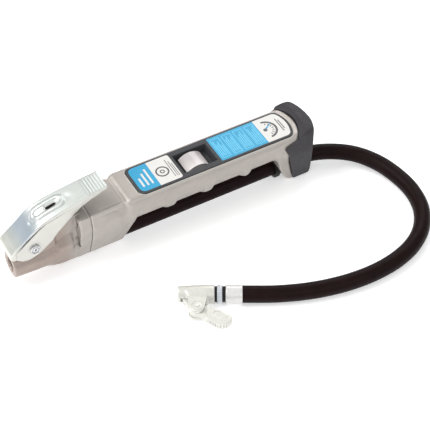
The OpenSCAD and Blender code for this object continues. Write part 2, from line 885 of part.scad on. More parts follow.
handle_casting();
valve_body();
body_gasket();
valve_body_screws();
inlet_filter();
gallery_plug();
trigger_lever();
lever_rivet();
plunger_guides();
inflate_plunger();
inflate_seal();
inflate_spring();
deflate_plunger();
deflate_seal();
deflate_spring();
gauge_cylinder();
gauge_piston();
piston_seal();
scale_barrel();
gauge_spring();
gauge_end_plug();
bezel_strip();
label_front();
label_rear();
lens();
lens_gasket();
end_cap();
end_cap_screws();
hose_grommet();
hose_tail();
hose_ferrule();
hose();
connector_tail();
connector_ferrule();
connector_rings();
connector_collar();
connector_body();
valve_washer();
valve_probe();
thumb_lever();
thumb_pin();
thumb_spring();
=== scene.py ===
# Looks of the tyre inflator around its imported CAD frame.
# Fields and outlines are in millimetres in the row frame; objects are in metres.
import math

import bmesh
import bpy
import numpy as np
from mathutils import Matrix, Vector


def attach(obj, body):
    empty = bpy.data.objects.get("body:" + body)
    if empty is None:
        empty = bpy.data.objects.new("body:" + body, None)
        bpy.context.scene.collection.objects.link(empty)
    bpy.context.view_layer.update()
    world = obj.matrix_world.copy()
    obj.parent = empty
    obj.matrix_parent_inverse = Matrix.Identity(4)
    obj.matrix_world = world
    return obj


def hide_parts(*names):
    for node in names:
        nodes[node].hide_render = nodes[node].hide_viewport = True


MM = 0.001
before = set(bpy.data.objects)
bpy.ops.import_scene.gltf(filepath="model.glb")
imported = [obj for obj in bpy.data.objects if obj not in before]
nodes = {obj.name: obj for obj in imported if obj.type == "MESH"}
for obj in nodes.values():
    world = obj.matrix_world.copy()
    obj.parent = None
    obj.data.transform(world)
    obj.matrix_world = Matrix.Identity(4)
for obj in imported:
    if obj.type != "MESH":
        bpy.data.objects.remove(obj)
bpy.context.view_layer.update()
scene = bpy.context.scene


# ---------------------------------------------------------------- camera
AIM = Vector((0.02994, -0.03297, 0.020))
TURN, TILT, AWAY = math.radians(29.3), math.radians(47.0), 1.2


def make_camera():
    data = bpy.data.cameras.new("camera")
    data.sensor_width = 36.0
    data.lens = 118.05
    data.clip_start = 0.05
    cam = bpy.data.objects.new("camera", data)
    scene.collection.objects.link(cam)
    ahead = Vector((math.sin(TURN) * math.cos(TILT), math.cos(TURN) * math.cos(TILT), -math.sin(TILT)))
    cam.location = AIM - AWAY * ahead
    cam.rotation_euler = ahead.to_track_quat("-Z", "Y").to_euler()
    scene.camera = cam


make_camera()


# ---------------------------------------------------------------- materials
def material(name, colour, rough, metal=0.0, mottle=0.06, scale=180.0, stretch=(1, 1, 1), bump=0.03,
             bump_scale=900.0, wear_and_highlight=0.0, wear_and_highlight_colour=None, hollow_shade=0.0, hollow_shade_colour=None, rough_spread=0.06,
             spec=0.5, coat=0.0, coat_rough=0.1, alpha=1.0, glow=0.0, along=None):
    """Principled surface: mottled colour, edges lightened for wear and as a painted highlight, hollows
    darkened as painted shade, uneven gloss and a fine grain.

    along lists (X in mm, tint) stops that change the colour over the length of the piece, as painted light
    and shade."""
    m = bpy.data.materials.new(name)
    m.use_nodes = True
    t = m.node_tree
    n, link = t.nodes, t.links.new
    b = n["Principled BSDF"]
    b.inputs["Metallic"].default_value = metal
    b.inputs["Specular IOR Level"].default_value = spec
    b.inputs["Coat Weight"].default_value = coat
    b.inputs["Coat Roughness"].default_value = coat_rough
    b.inputs["Alpha"].default_value = alpha
    b.inputs["Emission Color"].default_value = (1, 1, 1, 1)
    b.inputs["Emission Strength"].default_value = glow
    place = n.new("ShaderNodeTexCoord").outputs["Object"]
    spread = n.new("ShaderNodeMapping")
    spread.inputs["Scale"].default_value = stretch
    link(place, spread.inputs["Vector"])

    def noise(size, detail, stretched=False):
        q = n.new("ShaderNodeTexNoise")
        q.inputs["Scale"].default_value = size
        q.inputs["Detail"].default_value = detail
        q.inputs["Roughness"].default_value = 0.6
        link(spread.outputs["Vector"] if stretched else place, q.inputs["Vector"])
        return q.outputs["Fac"]

    def ranged(value, a0, a1, b0, b1):
        q = n.new("ShaderNodeMapRange")
        for i, x in zip((1, 2, 3, 4), (a0, a1, b0, b1)):
            q.inputs[i].default_value = x
        link(value, q.inputs[0])
        return q.outputs[0]

    def mix(factor, a, c, blend="MIX"):
        q = n.new("ShaderNodeMix")
        q.data_type = "RGBA"
        q.blend_type = blend
        if factor is None:
            q.inputs["Factor"].default_value = 1.0
        else:
            link(factor, q.inputs["Factor"])
        for socket, x in ((q.inputs["A"], a), (q.inputs["B"], c)):
            if isinstance(x, tuple):
                socket.default_value = (*x, 1)
            else:
                link(x, socket)
        return q.outputs["Result"]

    broad = noise(scale, 4, stretched=True)
    dark = tuple(c * (1 - mottle) for c in colour)
    light = tuple(min(1.0, c * (1 + mottle)) for c in colour)
    paint = mix(ranged(broad, 0.3, 0.7, 0, 1), dark, light)
    edge = n.new("ShaderNodeNewGeometry").outputs["Pointiness"]
    # painted shade: hollows, where pointiness is low, darkened towards a shade colour
    if hollow_shade:
        shade_colour = hollow_shade_colour or tuple(c * 0.45 for c in colour)
        paint = mix(ranged(edge, 0.495, 0.46, 0, hollow_shade), paint, shade_colour)
    # convex edges lightened: partly wear, partly a painted highlight
    if wear_and_highlight:
        rubbed_and_lit = wear_and_highlight_colour or tuple(min(1, c * 1.3) for c in colour)
        paint = mix(ranged(edge, 0.505, 0.56, 0, wear_and_highlight), paint, rubbed_and_lit)
    # tint along X: painted light and shade over the piece's length
    if along:
        split = n.new("ShaderNodeSeparateXYZ")
        link(place, split.inputs["Vector"])
        a, c = along[0][0], along[-1][0]
        tint = n.new("ShaderNodeValToRGB")
        stops = tint.color_ramp.elements
        for i, (at, shade) in enumerate(along):
            stop = stops[0] if i == 0 else stops[1] if i == len(along) - 1 else stops.new((at - a) / (c - a))
            stop.color = (*shade, 1)
        link(ranged(split.outputs["X"], a * MM, c * MM, 0, 1), tint.inputs["Fac"])
        paint = mix(None, paint, tint.outputs["Color"], "MULTIPLY")
    link(paint, b.inputs["Base Color"])
    gloss = noise(scale * 2.3, 3, stretched=True)
    smoothest = max(0.02, rough - rough_spread)
    link(ranged(gloss, 0.3, 0.7, smoothest, rough + rough_spread), b.inputs["Roughness"])
    grain = n.new("ShaderNodeBump")
    grain.inputs["Strength"].default_value = 0.5
    grain.inputs["Distance"].default_value = bump * MM
    link(noise(bump_scale, 4, stretched=True), grain.inputs["Height"])
    link(grain.outputs["Normal"], b.inputs["Normal"])
    return m


# In these materials the hollows are darkened as painted shade, and the edges are lightened for wear and as a
# painted highlight.
M = {
    # cast: the edge lightening also paints the highlight along the front block's ridge
    "cast": material("cast_metal", (0.40, 0.365, 0.335), 0.42, metal=0.45, mottle=0.05, scale=120, bump=0.05,
                     bump_scale=700, wear_and_highlight=0.5, wear_and_highlight_colour=(0.62, 0.59, 0.56), hollow_shade=0.5,
                     hollow_shade_colour=(0.20, 0.175, 0.16)),
    # nose: darker and browner below X -90, fading in from -100: painted shade ahead of the collar; its
    # hollows get a heavier painted shade
    "nose": material("nose_metal", (0.40, 0.365, 0.335), 0.42, metal=0.45, mottle=0.06, scale=110, bump=0.06,
                     bump_scale=650, wear_and_highlight=0.45, wear_and_highlight_colour=(0.62, 0.59, 0.56), hollow_shade=0.7,
                     hollow_shade_colour=(0.15, 0.12, 0.105), along=[(-100, (0.84, 0.75, 0.71)), (-90, (1, 1, 1))]),
    # zinc: painted highlight on the front bulge (X -148 to -139), a painted blue-grey shade band (X -133 to
    # -126) and painted shade over the grip ridges (X -73 to -54); its hollows get a bluish painted shade
    "zinc": material("zinc_plate", (0.58, 0.61, 0.58), 0.34, metal=0.6, mottle=0.03, scale=60,
                     stretch=(0.35, 1, 1), bump=0.02, bump_scale=500, wear_and_highlight=0.4,
                     wear_and_highlight_colour=(0.70, 0.70, 0.68),
                     hollow_shade=0.5, hollow_shade_colour=(0.27, 0.30, 0.38), rough_spread=0.05,
                     along=[(-148, (1.25, 1.18, 1.1)), (-139, (1.25, 1.18, 1.13)), (-133, (0.76, 0.81, 0.93)),
                            (-126, (0.76, 0.81, 0.93)), (-119, (1, 0.99, 1)), (-76, (1, 1, 1)),
                            (-73, (0.86, 0.86, 0.86)), (-54, (0.86, 0.86, 0.86))]),
    # side sheets of the lever, on faces that look along Y: a warmer copy of the zinc, painted side light
    "cheek": material("zinc_side_lit", (0.60, 0.59, 0.55), 0.36, metal=0.5, mottle=0.03, scale=60,
                      stretch=(0.35, 1, 1), bump=0.02, bump_scale=500, hollow_shade=0.6,
                      hollow_shade_colour=(0.25, 0.24, 0.24)),
    # painted shadow: dark colour for the faces under the lever plate's lip
    "hollow": material("zinc_lip_shadow", (0.13, 0.125, 0.135), 0.5, metal=0.3, mottle=0.12, scale=160,
                       bump=0.02),
    "collar": material("zinc_collar", (0.62, 0.65, 0.68), 0.32, metal=0.6, mottle=0.03, scale=160, bump=0.02,
                       hollow_shade=0.6, hollow_shade_colour=(0.27, 0.30, 0.38)),
    "dark_steel": material("dark_steel", (0.10, 0.09, 0.085), 0.45, metal=0.8, mottle=0.1, scale=260,
                           bump=0.02, hollow_shade=0.4),
    "steel": material("bright_steel", (0.60, 0.60, 0.61), 0.28, metal=1.0, mottle=0.05, scale=260, bump=0.02,
                      hollow_shade=0.5),
    "brass": material("brass", (0.66, 0.50, 0.24), 0.3, metal=1.0, mottle=0.08, scale=240, bump=0.02,
                      hollow_shade=0.5),
    "plastic": material("dark_plastic", (0.040, 0.041, 0.044), 0.5, mottle=0.12, scale=220, bump=0.05,
                        bump_scale=1800, wear_and_highlight=0.4, wear_and_highlight_colour=(0.10, 0.10, 0.105), spec=0.35),
    "rubber": material("cap_rubber", (0.030, 0.027, 0.031), 0.55, mottle=0.12, scale=140, bump=0.08,
                       bump_scale=1400, wear_and_highlight=0.5, wear_and_highlight_colour=(0.085, 0.08, 0.085), hollow_shade=0.3, spec=0.3),
    "seal": material("seal_rubber", (0.012, 0.011, 0.011), 0.5, mottle=0.2, scale=300, bump=0.05,
                     bump_scale=1500, spec=0.3),
    "gasket": material("gasket_board", (0.22, 0.195, 0.185), 0.6, mottle=0.12, scale=300, bump=0.03,
                       spec=0.3),
    "hose": material("hose_rubber", (0.0095, 0.0034, 0.0034), 0.46, mottle=0.25, scale=130, bump=0.06,
                     bump_scale=1100, spec=0.08, rough_spread=0.08),
    "die_cast": material("die_cast", (0.62, 0.615, 0.565), 0.34, metal=0.35, mottle=0.05, scale=260,
                         bump=0.06, bump_scale=1200, wear_and_highlight=0.6, wear_and_highlight_colour=(0.80, 0.80, 0.77), hollow_shade=0.8,
                         hollow_shade_colour=(0.17, 0.16, 0.14)),
    "ferrule": material("bright_ferrule", (0.66, 0.645, 0.63), 0.33, metal=0.35, mottle=0.02, scale=120,
                        stretch=(0.4, 1, 1), bump=0.002, bump_scale=200),
    "white": material("label_white", (0.63, 0.615, 0.585), 0.45, mottle=0.02, scale=160, bump=0.012,
                      bump_scale=2200, coat=0.1),
    "blue": material("label_blue", (0.012, 0.29, 0.50), 0.42, mottle=0.07, scale=420, bump=0.012,
                     bump_scale=2200, coat=0.1),
    "pale": material("label_pale", (0.13, 0.52, 0.73), 0.42, mottle=0.05, scale=420, bump=0.012,
                     bump_scale=2200, coat=0.1),
    "ink": material("label_ink", (0.07, 0.07, 0.08), 0.45, mottle=0.15, scale=600, bump=0.01,
                    bump_scale=2200, coat=0.1),
    # the sleeve glows faintly: painted light that brightens it under the lens
    "scale": material("scale_white", (0.84, 0.80, 0.79), 0.4, mottle=0.03, scale=260, bump=0.012,
                      bump_scale=2000, glow=0.22),
    "lens": material("lens_clear", (0.90, 0.84, 0.83), 0.09, mottle=0.02, scale=160, bump=0.01,
                     bump_scale=400, alpha=0.5, coat=1.0, coat_rough=0.04, rough_spread=0.03),
    # dark, nearly opaque ends of the clear lens: painted shade
    "lens_end_shade": material("lens_end_shade", (0.07, 0.055, 0.055), 0.2, mottle=0.05, scale=160, bump=0.01,
                         bump_scale=400, alpha=0.8),
}


# ---------------------------------------------------------------- fields
def smin(a, b, k):
    h = np.clip(0.5 + 0.5 * (b - a) / k, 0, 1)
    return b + (a - b) * h - k * h * (1 - h)


def smax(a, b, k):
    return -smin(-a, -b, k)


def poly(points, u, v):
    """Signed distance in a plane to a closed outline, negative inside."""
    best, inside = 1e9, False
    for (ax, ay), (bx, by) in zip(points, points[1:] + points[:1]):
        ex, ey, wx, wy = bx - ax, by - ay, u - ax, v - ay
        t = np.clip((wx * ex + wy * ey) / (ex * ex + ey * ey), 0, 1)
        best = np.minimum(best, (wx - ex * t) ** 2 + (wy - ey * t) ** 2)
        if ay != by:
            inside = inside ^ (((ay > v) != (by > v)) & (u < ax + (v - ay) * ex / ey))
    return np.where(inside, -1, 1) * np.sqrt(best)


def hull(circles, n=28):
    """Convex outline round circles given as (u, v, r)."""
    turns = [2 * math.pi * k / n for k in range(n)]
    pts = sorted({(round(u + r * math.cos(t), 4), round(v + r * math.sin(t), 4))
                  for u, v, r in circles for t in turns})

    def half(points):
        out = []
        for p in points:
            while len(out) > 1 and ((out[-1][0] - out[-2][0]) * (p[1] - out[-2][1])
                                    - (out[-1][1] - out[-2][1]) * (p[0] - out[-2][0])) <= 0:
                out.pop()
            out.append(p)
        return out[:-1]

    return half(pts) + half(pts[::-1])


def pair(u, v, r):
    return [(u, v, r), (-u, v, r)]


def chaikin(points, rounds=2):
    """Rounds the corners of an open line, keeping its ends."""
    for _ in range(rounds):
        inner = []
        for (a, b), (c, d) in zip(points, points[1:]):
            inner += [(0.75 * a + 0.25 * c, 0.75 * b + 0.25 * d), (0.25 * a + 0.75 * c, 0.25 * b + 0.75 * d)]
        points = [points[0]] + inner[1:-1] + [points[-1]]
    return points


def slab(v, a, b):
    return np.maximum(a - v, v - b)


def step(v, a, b):
    t = np.clip((v - a) / (b - a), 0, 1)
    return t * t * (3 - 2 * t)


def net(field, lo, hi, h):
    """Surface net of the field's zero level: vertices in mm and quads."""
    axes = [np.arange(a - 1.6 * h, b + 2.6 * h, h) for a, b in zip(lo, hi)]
    x, y, z = axes[0][:, None, None], axes[1][None, :, None], axes[2][None, None, :]
    d = np.ascontiguousarray(np.broadcast_to(field(x, y, z), [len(a) for a in axes]), np.float32)
    d = np.where(np.abs(d) < 1e-5, np.float32(1e-5), d)
    corner = {}
    for i in (0, 1):
        for j in (0, 1):
            for k in (0, 1):
                corner[i, j, k] = d[i: d.shape[0] - 1 + i, j: d.shape[1] - 1 + j, k: d.shape[2] - 1 + k]
    count = sum((c < 0).astype(np.int8) for c in corner.values())
    active = (count > 0) & (count < 8)
    where = np.argwhere(active)
    value = {key: c[active] for key, c in corner.items()}
    total, hits = np.zeros((len(where), 3)), np.zeros(len(where))
    for a in corner:
        for axis in range(3):
            if a[axis]:
                continue
            b = tuple(v + (q == axis) for q, v in enumerate(a))
            va, vb = value[a], value[b]
            cross = (va < 0) != (vb < 0)
            t = np.where(cross, va / np.where(cross, va - vb, 1), 0)
            point = np.tile(np.array(a, float), (len(where), 1))
            point[:, axis] += t
            total += point * cross[:, None]
            hits += cross
    origin = np.array([a[0] for a in axes])
    verts = origin + h * (where + total / hits[:, None])
    index = np.full(active.shape, -1, np.int64)
    index[active] = np.arange(len(where))
    faces = []
    for axis in range(3):
        a = np.moveaxis(d, axis, 0)
        sign = a[:-1] < 0
        change = sign != (a[1:] < 0)
        ix = np.moveaxis(index, axis, 0)
        change = change[:, 1:-1, 1:-1]
        at = np.argwhere(change)
        p, q, r = at.T
        quad = np.stack([ix[p, q, r], ix[p, q + 1, r], ix[p, q + 1, r + 1], ix[p, q, r + 1]], 1)
        flip = sign[:, 1:-1, 1:-1][p, q, r]
        if axis == 1:
            flip = ~flip
        quad[~flip] = quad[~flip][:, ::-1]
        faces.append(quad)
    faces = np.concatenate(faces)
    # one light pass of smoothing, each vertex towards the mean of its neighbours
    near, number = np.zeros_like(verts), np.zeros(len(verts))
    for i, j in ((0, 1), (1, 2), (2, 3), (3, 0)):
        np.add.at(near, faces[:, i], verts[faces[:, j]])
        np.add.at(near, faces[:, j], verts[faces[:, i]])
        np.add.at(number, faces[:, i], 1)
        np.add.at(number, faces[:, j], 1)
    return verts + 0.35 * (near / np.maximum(number, 1)[:, None] - verts), faces


def mesh_object(name, verts, faces, mats, smooth=True, index=None):
    """verts in mm. faces is an array of quads or a list of lists."""
    me = bpy.data.meshes.new(name)
    if isinstance(faces, np.ndarray):
        faces = faces.tolist()
    me.from_pydata(np.asarray(verts, float) * MM, [], faces)
    for m in mats:
        me.materials.append(m)
    if index is not None:
        me.polygons.foreach_set("material_index", np.asarray(index, np.int32))
    me.polygons.foreach_set("use_smooth", np.full(len(me.polygons), smooth))
    me.update()
    o = bpy.data.objects.new(name, me)
    scene.collection.objects.link(o)
    return o


def settle(o, body, slot, *replaced):
    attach(o, body)
    if replaced:
        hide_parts(*replaced)
    return o


def solid(name, field, lo, hi, h, mat, side_mat=None, shadow_mat=None, deep=None):
    """Meshed field. side_mat goes on faces that look along Y, and the third material, a painted shadow, where
    the field deep is negative.
    """
    verts, faces = net(field, lo, hi, h)
    if side_mat is None:
        return mesh_object(name, verts, faces, [mat])
    p = verts[faces]
    normal = np.cross(p[:, 2] - p[:, 0], p[:, 3] - p[:, 1])
    index = (np.abs(normal[:, 1]) > 0.8 * np.linalg.norm(normal, axis=1)).astype(int)
    if deep:
        index[deep(*p.mean(1).T) < 0] = 2
    return mesh_object(name, verts, faces, [mat, side_mat] + ([shadow_mat] if deep else []), index=index)


# ---------------------------------------------------------------- hose
ROUTE = [
    (-58, 0, 12), (-30, 0, 12), (20, 0, 12), (70, 0, 12), (100, 0, 12), (122, 0, 12), (144, -2, 12),
    (163, -9, 11.4), (180, -21, 10.4), (192.5, -39, 9.2), (199, -60, 8.2), (200.5, -82, 7.6),
    (195, -104, 7.4), (182, -122.5, 7.4), (164, -135, 7.4), (143, -142, 7.4), (121, -144.5, 7.4),
    (99, -143.5, 7.4), (77, -139.5, 7.4), (56, -133, 7.4), (36, -124.5, 7.5), (20, -116.2, 7.9),
    (11.6, -111.5, 8), (1.1, -105.6, 8),
]
HOSE_D = 14.5
CON_Z = 8
CON_AT, CON_TURN = Vector((11.6, -111.5, CON_Z)), math.radians(150.7)
# the thumb lever's pin in the connector's own frame
PIN_U, PIN_V = 37, 16.5


def through(points, steps):
    """Points along a smooth curve through the given ones."""
    p = [Vector(q) for q in points]
    out = []
    for i in range(len(p) - 1):
        a, b, c, d = p[max(i - 1, 0)], p[i], p[i + 1], p[min(i + 2, len(p) - 1)]
        for k in range(steps):
            t = k / steps
            out.append(0.5 * (2 * b + (c - a) * t + (2 * a - 5 * b + 4 * c - d) * t * t
                              + (3 * b - a - 3 * c + d) * t ** 3))
    return out + [p[-1]]


def make_hose():
    line = through(ROUTE, 6)
    data = bpy.data.curves.new("hose_line", "CURVE")
    data.dimensions = "3D"
    data.bevel_depth = HOSE_D / 2 * MM
    data.bevel_resolution = 7
    data.use_fill_caps = True
    s = data.splines.new("POLY")
    s.points.add(len(line) - 1)
    for q, v in zip(s.points, line):
        q.co = (*(v * MM), 1)
    s.use_smooth = True
    data.materials.append(M["hose"])
    o = bpy.data.objects.new("hose_run", data)
    scene.collection.objects.link(o)
    length = sum((b - a).length for a, b in zip(line, line[1:])) * MM
    return settle(o, "inflator", "hose_rubber", "hose"), length


hose_run, hose_length = make_hose()


# ---------------------------------------------------------------- body castings
TOP, BARREL_R, BARREL_Z = 60.5, 20.5, 45.6
SEAM, BLOCK_END, TAIL, TAIL_R = -76.7, -44, 126, 31
STRIP = (-31, 120.6, 16.8)
LENS = (17.5, 37.5, 9)
GAUGE_Z, HOSE_Z, INLET_Z = 40, 12, 21.5
PIVOT_X, PIVOT_Z = -125.5, 41
SCALLOPS = [(-36, -7.5, 0), (1.8, 28.5, 0.2), (37.4, 66.5, 1.2), (74, 105, 2)]
BLOCK = hull(pair(15.8, 56.8, 1.2) + pair(9.5, 46, 9.5) + pair(14.5, 34, 2.5) + [(0, HOSE_Z, 9.5)])
LEG_SECTION = hull(pair(16, 42, 2.5) + pair(8.5, 4, 4))
LEG_SIDE = [(99, 60), (99, 46), (101.8, 34.5), (105.3, 22), (109.5, 12), (113, 5.5), (117, 1.2), (121, -2),
            (135, -2), (135, 60)]
LEG_REAR = ([0, 11.5, 25, 41, 50.5], [121.6, 118, 114.5, 110, 105.6])


def barrel_section(r, corner):
    low = [(-(r - corner) * math.cos(math.pi * k / 24), BARREL_Z - (r - corner) * math.sin(math.pi * k / 24))
           for k in range(25)]
    return low + [(r - corner, TOP - corner), (corner - r, TOP - corner)]


def strip_outline(x, y, grow=0.0):
    """Distance in plan to the strip's outline: rounded front corners and an arched tail."""
    x0, x1, w = STRIP
    u, v = x0 + 6 - x, np.abs(y) - (w - 6)
    front = np.hypot(np.maximum(u, 0), np.maximum(v, 0)) - 6 + np.minimum(np.maximum(u, v), 0)
    tail = np.hypot(np.maximum(x - (x1 - 30), 0), y) - 30
    return smax(front, tail, 3.0) - grow


def barrel(x, y, z, grow=0.0, top=99):
    """The handle without its scallops, grown all round."""
    d = poly(barrel_section(BARREL_R, 5), y, np.minimum(z, top)) - 5 - grow
    return smax(d, np.hypot(np.maximum(x - (TAIL - TAIL_R), 0), y) - TAIL_R - grow, 1.5)


def handle_field(x, y, z):
    d = barrel(x, y, z) + 1.2 * step(-x, 40, 45)
    # finger scallops, steep at the front of each and running out gently at its rear
    for x0, x1, lift in SCALLOPS:
        zc = BARREL_Z + 1.4 + lift
        deep = np.hypot(y, z - zc) - 19.5 - step(z, 36, 49)
        cut = np.maximum(np.maximum(-deep, z - zc - 3.0),
                         np.maximum(x0 - 0.8 * deep - x, x - x1 + 2.5 - 2.0 * deep))
        d = smax(d, -cut, 1.1)
    handle = smax(d, BLOCK_END - 1 - x, 2.6)
    # front block, with a raised pad on each side over the valve chamber
    side = poly([(-99, -5), (-45.5, -5), (-45, 8), (-35.5, 38), (-41, TOP), (-60, 58.2), (-99, 57.2)], x, z)
    section = poly(BLOCK, y, z)
    block = smax(section, side, 1.2)
    block = smin(block, smax(np.hypot(np.abs(y) - 15.9, z - 56.4 - 0.03 * (x + 76)) - 1.9, x + 47, 2.0), 0.6)
    for px, pz, wide, tall, r, proud in ((-76, 24.5, 14, 4, 7, 0.9), (-76, 37, 17, 9, 9, 0.45)):
        u, v = np.abs(x - px) - wide, np.abs(z - pz) - tall
        pad = np.hypot(np.maximum(u, 0), np.maximum(v, 0)) - r + np.minimum(np.maximum(u, v), 0)
        block = smin(block, smax(section - proud, pad, 1.2), 0.5)
    block = np.maximum(block, SEAM - x)
    d = smin(handle, block, 1.2)
    # rear leg, cut off along its sloping joint with the cap
    leg = smax(poly(LEG_SECTION, y, z), poly(LEG_SIDE, x, z), 1.6)
    d = smin(d, leg, 5.0)
    d = np.maximum(d, np.minimum(handle, 0.96 * (x - np.interp(z, *LEG_REAR))))
    # recess for the strip, window, gauge bore, hose socket and the way through the leg
    d = smax(d, -np.maximum(strip_outline(x, y, 0.15), 58.0 - z), 0.3)
    d = np.maximum(d, -np.maximum(np.maximum(slab(x, 11.7, 46.3), np.abs(y) - 12.3), 48 - z))
    d = np.maximum(d, -np.maximum(np.hypot(y, z - GAUGE_Z) - 10, -45 - x))
    d = np.maximum(d, -np.maximum(np.hypot(y, z - GAUGE_Z) - 6.5, slab(x, -61, -44)))
    d = smax(d, -np.maximum(np.hypot(y, z - HOSE_Z) - 7.9, slab(x, -64, -30)), 0.6)
    d = smax(d, -np.maximum(np.hypot(y, z - HOSE_Z) - 8.4, slab(x, 96, 125)), 0.6)
    d = np.maximum(d, -np.maximum(np.hypot(y, z - HOSE_Z) - 10.2, slab(x, 96, 109)))
    return np.maximum(d, -np.maximum(np.hypot(x + 70, y) - 2.5, z - 9))


settle(solid("body_casting", handle_field, (SEAM, -21, 0), (TAIL, 21, 61), 0.8, M["cast"]),
       "inflator", "casting", "handle_casting")

MOUTH, COLLAR = -145, -87.5
PLUNGERS = (-84, -94)
# pockets of the flange screws: Y, Z, half height of the slot
SCREW_POCKETS = [(12.0, 30, 4.2), (11, 50, 1.2)]
# marks on the nose's sides: X, Z, radius, depth
MARKS = [(-107, 30, 1.9, 0.35), (-133.5, 30, 0.6, 0.6), (-100, 44, 1.6, 0.12)]
TONGUE = [(-137, 28), (-138, 38), (-133, 44), (-126, 50), (-116, 56), (-111, 58), (-107, 58), (-107, 30)]


def nose_field(x, y, z):
    mouth = np.hypot(y, z - INLET_Z) - 12
    neck = poly(hull(pair(2.5, 22.5, 11.5), 56), y, z)
    lobes = pair(2.4, 47, 6) + pair(4.5, 30, 10) + [(0, HOSE_Z, 9.3)]
    flange = poly(hull(lobes, 56), y, z)
    a = np.clip((x + 145) / 26.5, 0, 1)
    low = 1 - step(z, 10, 24)
    b = np.clip((x + 118.5) / 28.5, 0, 1) * (1 - low) + step(x, -130, -101) * low
    form = mouth * (1 - a) + (neck * (1 - b) + flange * b) * a
    # waist just ahead of the collar
    form = form + 2.4 * np.exp(-((x + 90) / 3.2) ** 2) * step(z, 17, 25) * (1 - step(z, 42, 49))
    for mx, mz, r, deep in MARKS:
        form = form + deep * (1 - step(np.hypot(x - mx, z - mz), 0.6 * r, 1.3 * r)) * (y < 0)
    d = smax(form, slab(x, MOUTH, COLLAR + 4), 1.0)
    collar = smax(np.maximum(poly(BLOCK, y, z), z - 57.6), COLLAR - x, 1.6)
    d = smin(d, np.maximum(collar, x - SEAM + 0.3), 1.0)
    tongue = smax(poly(TONGUE, x, z), np.abs(y) - 10, 1.0)
    rail = smax(np.maximum(slab(x, -108, SEAM - 0.3), slab(z, 30, 58)), np.abs(y) - 8.5, 1.0)
    d = smin(smin(d, tongue, 0.8), rail, 0.8)
    cheeks = poly([(COLLAR - 6, 53), (COLLAR + 1, 56.4), (COLLAR + 8, 60), (COLLAR - 6, 60)], x, z)
    d = smax(d, -np.maximum(cheeks, slab(np.abs(y), 8.5, 12.5)), 0.4)
    # sockets of the flange screws
    for py, pz, tall in SCREW_POCKETS:
        pocket = np.hypot(np.abs(y) - py, np.maximum(np.abs(z - pz) - tall, 0)) - 2
        d = smax(d, -np.maximum(pocket, slab(x, COLLAR - 4.5, COLLAR + 6)), 0.4)
    # threaded inlet: a helical groove inside the mouth
    turn = np.arctan2(z - INLET_Z, y) / (2 * math.pi)
    ridge = 0.45 * np.cos(2 * math.pi * ((x - MOUTH) / 1.34 - turn)) * (x < MOUTH + 12)
    bore = np.hypot(y, z - INLET_Z) - (6.1 + ridge) - 1.3 * np.clip(1 - (x - MOUTH) / 1.3, 0, 1)
    d = np.maximum(d, -np.maximum(bore, x - MOUTH - 12))
    d = np.maximum(d, -np.maximum(np.hypot(y, z - INLET_Z) - 4.92, x - MOUTH - 14))
    # pivot hole, and the bores of the two plungers
    d = np.maximum(d, -(np.hypot(x - PIVOT_X, z - PIVOT_Z) - 2.6))
    for px in PLUNGERS:
        d = np.maximum(d, -np.maximum(np.hypot(x - px, y) - 4.5, 49 - z))
        d = np.maximum(d, -np.maximum(np.hypot(x - px, y) - 4.3, 16 - z))
    return d


settle(solid("nose_casting", nose_field, (MOUTH, -20, 0), (SEAM - 0.3, 20, 58), 0.5, M["nose"]),
       "inflator", "nose_casting", "valve_body")


# ---------------------------------------------------------------- trigger lever
LEVER_TOP = chaikin([(-145.4, 36.5), (-147.6, 39.5), (-147.2, 43), (-142.6, 47.2), (-131.2, 55.8),
                     (-122.4, 64.3), (-112, 69), (-98.7, 72.2), (-81, 75.4), (-56, 79.4)])
LIP_LOW = [(-145.6, 41), (-138.5, 48.2), (-132.7, 53.6), (-126, 58.6), (-119.4, 63.0), (-114.9, 64.8),
           (-101, 67.8), (-81, 71.6), (-56, 76.7)]
CREVICE = [(-143.6, 41.7), (-138.5, 49.0), (-132.7, 54.4), (-126, 59.4), (-119.4, 63.8), (-100, 68.2),
           (-70, 74.1), (-70, 73.2), (-100, 66.3), (-114, 63.2), (-119.8, 59.8), (-125.4, 55.4),
           (-131.3, 50.8), (-137, 46.4)]
CHEEK_LOW = [(-56, 75), (-74, 69.2), (-81.5, 66), (-89.2, 60), (-95.6, 55.2), (-102.9, 49.2), (-109.5, 42),
             (-115.8, 37.3), (-122.2, 33), (-128.3, 30.7), (-133, 30.1), (-137.5, 31.4), (-141, 34),
             (-144, 37.2), (-145.8, 39.5)]
SHEET = 1.5


def lever_half(x):
    """Half width of the lever, narrowing to its free end."""
    return 12.5 - 2.1 * np.clip((x + 118) / 61, 0, 1)


